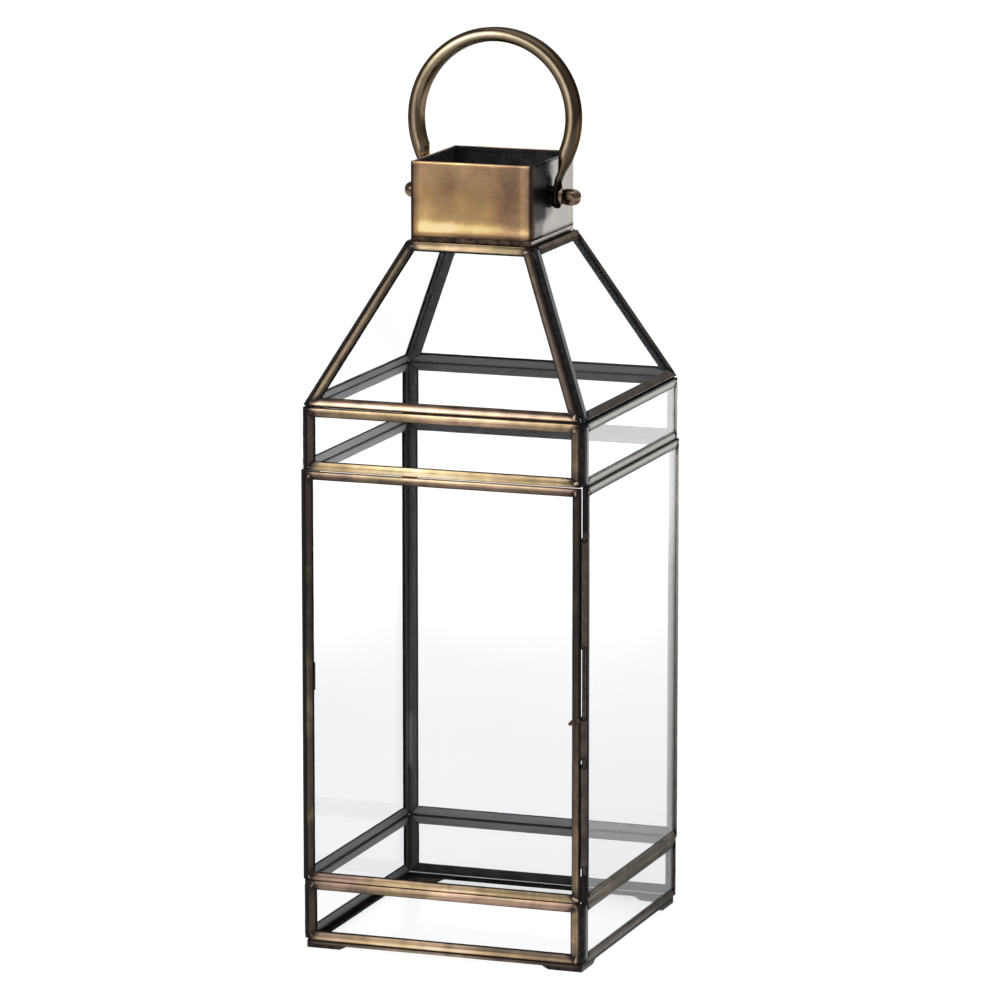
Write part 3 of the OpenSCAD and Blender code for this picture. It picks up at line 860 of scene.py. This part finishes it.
def ring_sections():
    """From the right eye's foot to the ring's top: each section's inner point, outer point and depth.

    The bar's outer half runs down to a blunt tip beside the strip that forms the eye.
    """
    sections = []
    for k in range(1, 9):
        z = -EYE_R * math.cos(math.pi / 2 * k / 8)
        depth = 2 * math.sqrt(max(0.5, EYE_R**2 - z * z))
        sections.append((Vector((EYE_IN, z)), Vector((EYE_OUT, z)), depth))
    neck, neck_z = 8.0, 8.4
    tip = Vector((EYE_OUT, RING_TIP_Z + 0.4))
    for k in range(1, 9):
        z = neck_z * k / 8
        depth = 2 * EYE_R + (neck - 2 * EYE_R) * smooth(1.5, neck_z, z)
        outer_z = z if k < 8 else tip.y
        sections.append((Vector((EYE_IN, z)), Vector((EYE_OUT, outer_z)), depth))
    centre = Vector((0, RING_RISE))
    plane_x = EYE_OUT - 0.2
    join = -math.acos(plane_x / RING_INNER_R)
    tip_out = Vector((EYE_OUT + 2.3, 14.2))
    tip_turn = -math.acos(tip_out.x / RING_OUTER_R)
    tip_share = 0.35  # how much of the way from the neck to the round bar the tip's slope takes
    for k in range(1, 15):
        t = k / 14
        z_in = neck_z + (RING_RISE + RING_INNER_R * math.sin(join) - neck_z) * t
        x_in = EYE_IN + (plane_x - EYE_IN) * smooth(neck_z, 15.0, z_in)
        if t < tip_share:
            outer = tip.lerp(tip_out, t / tip_share)
        else:
            a = tip_turn + (join - tip_turn) * (t - tip_share) / (1 - tip_share)
            outer = centre + RING_OUTER_R * Vector((math.cos(a), math.sin(a)))
        sections.append((Vector((x_in, z_in)), outer, neck + (RING_DEPTH - neck) * smooth(0.0, 0.9, t)))
    for k in range(1, 49):
        a = join + (math.pi / 2 - join) * k / 48
        way = Vector((math.cos(a), math.sin(a)))
        sections.append((centre + way * RING_INNER_R, centre + way * RING_OUTER_R, RING_DEPTH))
    return sections


def bar_section(thick, depth):
    """Points round the bar, centred on it, with round corners: (across, deep, how far round to its side)."""
    r = min(3.7, thick * 0.46, depth * 0.46)
    points = []
    for sx, sy, a0 in ((1, -1, -90), (1, 1, 0), (-1, 1, 90), (-1, -1, 180)):
        cx, cy = sx * (thick / 2 - r), sy * (depth / 2 - r)
        for k in range(8):
            a = math.radians(a0 + 90 * k / 7)
            x, y = cx + r * math.cos(a), cy + r * math.sin(a)
            points.append((x, y, abs(math.cos(a))))
    return points


def handle_ring():
    b = Builder()
    half = ring_sections()
    mirrored = [(Vector((-i.x, i.y)), Vector((-o.x, o.y)), d) for i, o, d in reversed(half[:-1])]
    rings = []
    run = 0.0
    last = None
    for inner, outer, depth in half + mirrored:
        middle = (inner + outer) / 2
        run += (middle - last).length if last is not None else 0
        last = middle
        way = (outer - inner).normalized()
        points = []
        for n, (x, y, side) in enumerate(bar_section((outer - inner).length, depth)):
            flat = middle + way * x
            # Painted highlight along the middle of the bar's front and back, brightest towards the top left
            crown = max(0.0, 1 - side / 0.75)
            shank = smooth(6, 11, outer.y)
            turn = math.atan2(middle.y - RING_RISE, middle.x)
            bright = 0.42 + 0.12 * math.cos(turn) + 0.55 * bell(turn, math.radians(112), 0.6)
            # Painted light on the inner side of the lower left arm
            inside = smooth(0.0, -2.0, x) * smooth(0.2, 0.9, -math.cos(turn))
            gold = 0.27 + 0.82 * bright * crown**2.4 + (0.18 + 0.34 * smooth(30, 14, outer.y)) * inside
            # Painted shade: dark near the eye, beside the collar, and darker towards the bar's sides
            gold *= 0.1 + 0.9 * shank
            edge = max(0.25 * side, 0.95 * (1 - shank))
            points.append((in_handle(flat.x, y, flat.y), (gold, edge, 0.12, 0.0), (run * MM, n * 0.0012)))
        rings.append(b.ring(points))
    b.loft(rings)
    obj = b.make("ring_handle", (BAR,), "handle", "handle_brass", "handle_ring", angle=55)
    drill(obj, SHANK_R + 0.05, (0, 0, PIVOT_Z), 4 * EYE_OUT)


handle_ring()


def pivot_knob(side, sign):
    """A turned knob on its shank: a shallow bead at its root, a waist and a domed head."""
    profile = [
        (32.3, 0.0), (32.3, 2.1), (32.7, SHANK_R), (40.3, SHANK_R), (40.42, 4.2), (40.6, 4.75), (41.3, 4.84),
        (42.0, 4.7), (42.4, 4.25), (42.9, 4.12), (43.4, 4.3), (44.4, 4.62), (46.0, 4.80), (48.0, 4.82),
        (49.6, 4.62), (50.9, 4.15), (51.9, 3.45), (52.6, 2.6), (53.0, 1.6), (53.18, 0.7), (53.2, 0.0),
    ]
    b = Builder()
    rings = []
    for x, r in profile:
        points = []
        for j in range(40):
            a = 2 * math.pi * j / 40
            point = in_handle(sign * x, max(r, 0.02) * math.cos(a), max(r, 0.02) * math.sin(a))
            points.append((point, PLAIN, (j * 0.001, x * MM)))
        rings.append(b.ring(points))
    b.loft(rings)
    b.make(f"pivot_knob_{side}", (KNOB,), "handle", "dark_brass", f"handle_knob_{side}", angle=45)


pivot_knob("right", 1)
pivot_knob("left", -1)

# ---- Hinge ------------------------------------------------------------------------


def hinge_tube(name, node, body, web_to, seed):
    """A rolled tube with its ends cut on the slant, and the solder web that holds it to its panel."""
    b = Builder()
    lo, hi = box_mm(node)
    cx, cy = HINGE_AXIS
    inner_r = 1.06
    face = math.atan2(-1, 0.35)
    rings = []
    steps = round((hi.z - lo.z) / 3)
    rows = [(TUBE_R, k / steps) for k in range(steps + 1)]
    rows += [(inner_r, 1 - k / steps) for k in range(steps + 1)]
    for r, t in rows:
        points = []
        for j in range(36):
            a = 2 * math.pi * j / 36
            slant = 1.4 * (1 + math.cos(a - face))
            low, high = lo.z + slant * 0.9, hi.z - slant
            z = low + (high - low) * t
            wall = r - (0.05 * (0.5 + 0.5 * wobble((a, z, 0), 6, seed)) if r == TUBE_R else 0)
            end = max(smooth(0.03, 0.0, t), smooth(0.97, 1.0, t))
            point = (cx + wall * math.cos(a), cy + wall * math.sin(a), z)
            points.append((point, (0.20, max(0.25, end * 0.9), 0.22, 0.0), (z * MM, a * r * MM)))
        rings.append(b.ring(points))
    b.loft(rings, closed=True)
    (x0, y0), (x1, y1) = web_to
    rings = []
    for k in range(steps + 1):
        t = k / steps
        z = lo.z + 1.6 + (hi.z - lo.z - 3.2) * t
        pinch = 0.10 * wobble((z, 0, 0), 5, seed + 2)
        corners = [(x0 - pinch, y0), (x1 + pinch, y0), (x1, y1), (x0, y1)]
        if x1 - x0 < y1 - y0:
            corners = [(x0, y0), (x1, y0 + pinch), (x1, y1 - pinch), (x0, y1)]
        rings.append(b.ring([((x, y, z), (0.15, 0.8, 0.1, 0), (z * MM, 0)) for x, y in corners]))
    b.loft(rings)
    b.make(name, (BROWN,), body, "channel_brass", node, angle=45)


WEB_HALF = 0.65
WEB_START = 1.5  # how far from the hinge axis each web begins, inside the tube's wall
axis_x, axis_y = HINGE_AXIS
case_web = ((axis_x - WEB_HALF, axis_y + WEB_START), (axis_x + WEB_HALF, SIDE_EDGE + 0.02))
door_web = ((door_hi.x - 0.02, axis_y - WEB_HALF), (axis_x - WEB_START, axis_y + WEB_HALF))
hinge_tube("hinge_barrel_upper", "hinge_tube_upper", "case", case_web, 11)
hinge_tube("hinge_barrel_lower", "hinge_tube_lower", "case", case_web, 12)
hinge_tube("hinge_knuckle", "door_knuckle", "door", door_web, 13)


def hinge_wire():
    """The straightened wire, with its ends snipped and filed round."""
    b = Builder()
    lo, hi = box_mm("hinge_pin")
    cx, cy = HINGE_AXIS
    rings = []
    rows = [(0.0, 0.15), (0.12, 0.6), (0.4, 0.88), (0.9, 1.0)]
    rows += [(0.9 + (hi.z - lo.z - 1.8) * k / 60, 1.0) for k in range(1, 61)]
    rows += [(hi.z - lo.z - 0.4, 0.88), (hi.z - lo.z - 0.12, 0.6), (hi.z - lo.z, 0.15)]
    for z, share in rows:
        points = []
        for j in range(24):
            a = 2 * math.pi * j / 24
            point = (cx + share * math.cos(a), cy + share * math.sin(a), lo.z + z)
            points.append((point, PLAIN, (z * MM, a * MM)))
        rings.append(b.ring(points))
    b.loft(rings)
    b.make("hinge_wire", (WIRE,), "case", "dark_brass", "hinge_pin", angle=60)


hinge_wire()


def strap():
    """The short strap across the door's stile: a thin strip, pinched to a point at its free end."""
    b = Builder()
    lo, hi = box_mm("hinge_strap")
    centre = (lo + hi) / 2
    lean = math.radians(24)
    rings = []
    for k in range(15):
        t = k / 14
        along = -3.6 + 7.2 * t
        wide = 3.6 * (0.45 + 0.55 * smooth(0.0, 0.42, t)) * (1 - 0.25 * smooth(0.75, 1.0, t))
        thick = 0.8
        points = []
        for x, y, _ in bar_section(wide, thick):
            lift = 0.06 * wobble((along, x, 0), 2.5, 31)
            u = along * math.cos(lean) + x * math.sin(lean)
            v = along * math.sin(lean) - x * math.cos(lean)
            points.append(((centre.x + u, centre.y + y - lift, centre.z + v), PLAIN, (along * MM, x * MM)))
        rings.append(b.ring(points))
    b.loft(rings)
    b.make("stile_strap", (DARK,), "door", "dark_brass", "hinge_strap", angle=50)


strap()

# ---- CAD nodes that stay ------------------------------------------------------------

MIRRORING = ("base_glass_right", "side_glass_right", "band_glass_right")
# Panes that take the glass painted deepest grey towards its foot, as painted shade
PANES_SHADED_LOW = ("door_glass", "side_glass_left", "side_glass_back", "base_glass_back", "base_glass_left")
for name, obj in NODES.items():
    if obj.hide_render:
        continue
    obj.data.materials.clear()
    if "glass" in name:
        obj.data.materials.append(GLASS if name in MIRRORING else TALL if name in PANES_SHADED_LOW else CLEAR)
        continue
    obj.data.materials.append(FOOT if name == "corner_feet" else DARK)
    bevel = obj.modifiers.new("worn_edges", "BEVEL")
    bevel.width = 0.25 * MM
    bevel.segments = 3
    bevel.limit_method = "ANGLE"
    bevel.angle_limit = math.radians(40)
    bevel.harden_normals = False

# ---- Floor, light and camera ----------------------------------------------------------


def disc(name, radius, material):
    mesh = bpy.data.meshes.new(name)
    bm = bmesh.new()
    bmesh.ops.create_circle(bm, cap_ends=True, segments=96, radius=radius)
    bm.to_mesh(mesh)
    bm.free()
    mesh.materials.append(material)
    obj = new_object(name, mesh)
    return obj


def floor():
    t = Tree("studio_paper")
    grain = t.noise(3.0, 2.0, 0.5)
    colour = t.mix(grain, (0.15, 0.15, 0.15, 1), (0.17, 0.17, 0.17, 1))
    paper = t.principled({
        "Base Color": colour, "Roughness": 0.9, "Specular IOR Level": 0.0,
        "Emission Color": (1, 1, 1, 1), "Emission Strength": 0.92,
    })
    obj = disc("studio_floor", 14, paper)
    obj.visible_glossy = False


TO_SIDE_MIRROR = (0.337, 0.941)  # the way along the floor that the faces on the right mirror


def lit_table():
    """What polished metal sees of the floor. Towards TO_SIDE_MIRROR it is dim nearby and bright far off."""
    t = Tree("lit_table")
    x, y, _ = t.node("ShaderNodeSeparateXYZ", {"Vector": t.place}).outputs
    reach = t.math("SQRT", t.plus(t.times(x, x), t.times(y, y)))
    side_x, side_y = TO_SIDE_MIRROR
    ahead = t.plus(t.times(x, side_x), t.times(y, side_y))
    far = t.ramp(reach, 1.0, 1.45)
    that_way = t.ramp(t.math("DIVIDE", ahead, reach), 0.55, 0.90)
    dim = t.times(t.ramp(reach, 0.2, 1.0, -0.55, 0.0), that_way)
    lit = t.times(t.times(far, that_way), 1.5)
    glow = t.plus(t.plus(1.0, dim), lit)
    shader = t.node("ShaderNodeEmission", {"Color": (1.0, 0.99, 0.97, 1), "Strength": glow})
    obj = disc("lit_table", 5, t.finish(shader.outputs[0]))
    obj.location.z = -0.0005
    obj.visible_camera = obj.visible_diffuse = obj.visible_transmission = obj.visible_shadow = False


floor()
lit_table()


def studio_world():
    """An even pale room for the floor, and for reflections a dim room with soft boxes."""
    t = Tree("studio", world=True)
    x, y, z = t.node("ShaderNodeSeparateXYZ", {"Vector": t.place}).outputs
    height = t.math("ARCSINE", z)
    front = t.math("ARCTAN2", x, t.times(y, -1.0))  # 0 towards -Y, rising towards +X
    total = 0.30
    # Each soft box: its middle, half its width and that edge's blur, its foot, its top and their blur, in
    # degrees, and its strength
    for azimuth, half, blur, low, high, lift, strength in (
        (-17, 24, 10, 1, 27, 6, 1.55),
        (175, 60, 18, 8, 60, 12, 0.45),
        (-100, 18, 10, -20, 50, 14, 0.45),
        (70, 14, 10, 10, 60, 14, 0.25),
    ):
        turn = t.minus(front, math.radians(azimuth))
        wrapped = t.node("ShaderNodeMath", {0: turn, 1: math.pi, 2: -math.pi}, operation="WRAP").outputs[0]
        turn = t.math("ABSOLUTE", wrapped)
        wide = t.ramp(turn, math.radians(half + blur), math.radians(half - blur))
        tall = t.times(
            t.ramp(height, math.radians(low - lift), math.radians(low + lift)),
            t.ramp(height, math.radians(high + lift), math.radians(high - lift)))
        total = t.plus(total, t.times(t.times(wide, tall), strength))
    room = t.node("ShaderNodeBackground", {"Color": (1.0, 0.995, 0.985, 1), "Strength": total})
    even = t.node("ShaderNodeBackground", {"Color": (1, 1, 1, 1), "Strength": 1.02})
    glossy = t.node("ShaderNodeLightPath").outputs["Is Glossy Ray"]
    bpy.context.scene.world = t.finish(t.either(glossy, even, room))


studio_world()


def look(obj, place, way):
    """Puts the light or camera at place and turns it to look along way."""
    obj.location = place
    obj.rotation_mode = "QUATERNION"
    obj.rotation_quaternion = way.to_track_quat("-Z", "Y")


def area_light(name, place, size, power, aim=(0, 0, 0.25)):
    light = bpy.data.lights.new(name, "AREA")
    light.shape = "RECTANGLE"
    light.size, light.size_y = size
    light.energy = power
    look(new_object(name, light), place, Vector(aim) - Vector(place))


area_light("overhead", (0.2, 0.1, 2.6), (2.4, 2.4), 28)
area_light("key", (-1.3, -2.0, 1.7), (1.2, 1.4), 16)

AZIMUTH, ELEVATION, DISTANCE = math.radians(19.678), math.radians(10.863), 3.552
TARGET_Z, SIDE_SHIFT, LENS = 0.2519, 0.0042, 222.3
away = Vector((
    math.sin(AZIMUTH) * math.cos(ELEVATION), -math.cos(AZIMUTH) * math.cos(ELEVATION), math.sin(ELEVATION)))
aim = Vector((0, 0, TARGET_Z)) + Vector((math.cos(AZIMUTH), math.sin(AZIMUTH), 0)) * SIDE_SHIFT
camera_data = bpy.data.cameras.new("camera")
camera_data.lens = LENS
camera_data.sensor_width = 36
camera = new_object("camera", camera_data)
look(camera, aim + away * DISTANCE, -away)
bpy.context.scene.camera = camera
bpy.context.scene.view_settings.view_transform = "Standard"
